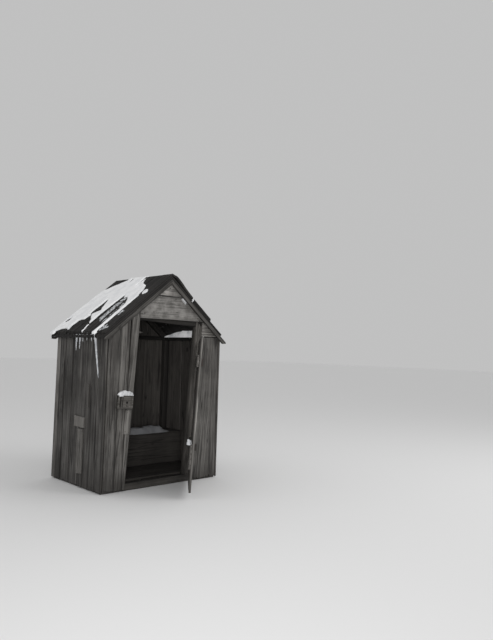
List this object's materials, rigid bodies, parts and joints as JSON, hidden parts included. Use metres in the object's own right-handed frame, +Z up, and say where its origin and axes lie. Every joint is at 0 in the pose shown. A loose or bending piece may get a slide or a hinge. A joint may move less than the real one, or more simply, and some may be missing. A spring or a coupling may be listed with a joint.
{
  "type": "wooden outhouse",
  "caption": "Small plank outhouse with a boarded gable roof, leaning doorway, half-open ledged door on strap hinges, and a bench with holes over a pit.",
  "frame": {"origin": "middle of the footprint of the walls, on the ground, under the floor joist", "axes": "+X to the right as one faces the door, +Y from the door wall to the back wall, +Z up"},
  "size_m": [1.6236, 1.7986, 2.2988],
  "materials": {
    "frame_timber": "old sawn timber, dry and grey",
    "wall_boards": "weathered unpainted boards, grey with raised grain",
    "gable_boards": "weathered boards, paler and smoother",
    "roof_boards": "dark wet boards with frost and thin snow",
    "inner_boards": "dry dark boards of the floor and the bench",
    "iron": "rusted dark iron"
  },
  "bodies": {
    "hut": {"back_wall_boards": "wall_boards", "corner_post_back_left": "frame_timber", "corner_post_back_right": "frame_timber", "corner_post_front_left": "frame_timber", "corner_post_front_right": "frame_timber", "door_header": "frame_timber", "door_post_left": "frame_timber", "door_post_right": "frame_timber", "floor_boards": "inner_boards", "floor_joist": "frame_timber", "front_boards_left": "wall_boards", "front_boards_right": "wall_boards", "gable_board_main": "gable_boards", "gable_board_splinter": "gable_boards", "gable_board_stub": "gable_boards", "gable_board_top": "gable_boards", "hinge_leaves": "iron", "jamb_patch": "wall_boards", "latch_keeper": "wall_boards", "left_wall_boards": "wall_boards", "left_wall_patches": "wall_boards", "plate_back": "frame_timber", "plate_left": "frame_timber", "plate_right": "frame_timber", "rafters_back": "frame_timber", "rafters_front": "frame_timber", "rakes_back": "roof_boards", "rakes_front": "roof_boards", "ridge_beam": "frame_timber", "right_wall_boards": "wall_boards", "roof_boards_left": "roof_boards", "roof_boards_right": "roof_boards", "roof_covers_left": "roof_boards", "roof_covers_right": "roof_boards", "seat_boards": "inner_boards", "seat_cleats": "frame_timber", "seat_riser": "inner_boards", "sill_back": "frame_timber", "sill_front": "frame_timber", "sill_left": "frame_timber", "sill_right": "frame_timber"},
    "door": {"door_boards": "wall_boards", "door_ledge_lower": "wall_boards", "door_ledge_upper": "wall_boards", "hinge_straps": "iron"}
  },
  "joints": [
    {"name": "door_hinge", "type": "hinge", "parent": "hut", "child": "door", "pos_m": [0.37067, -0.547, 0.025], "axis": [0.0628, 0, 0.998], "range_deg": [-52.5, 107.5]}
  ]
}
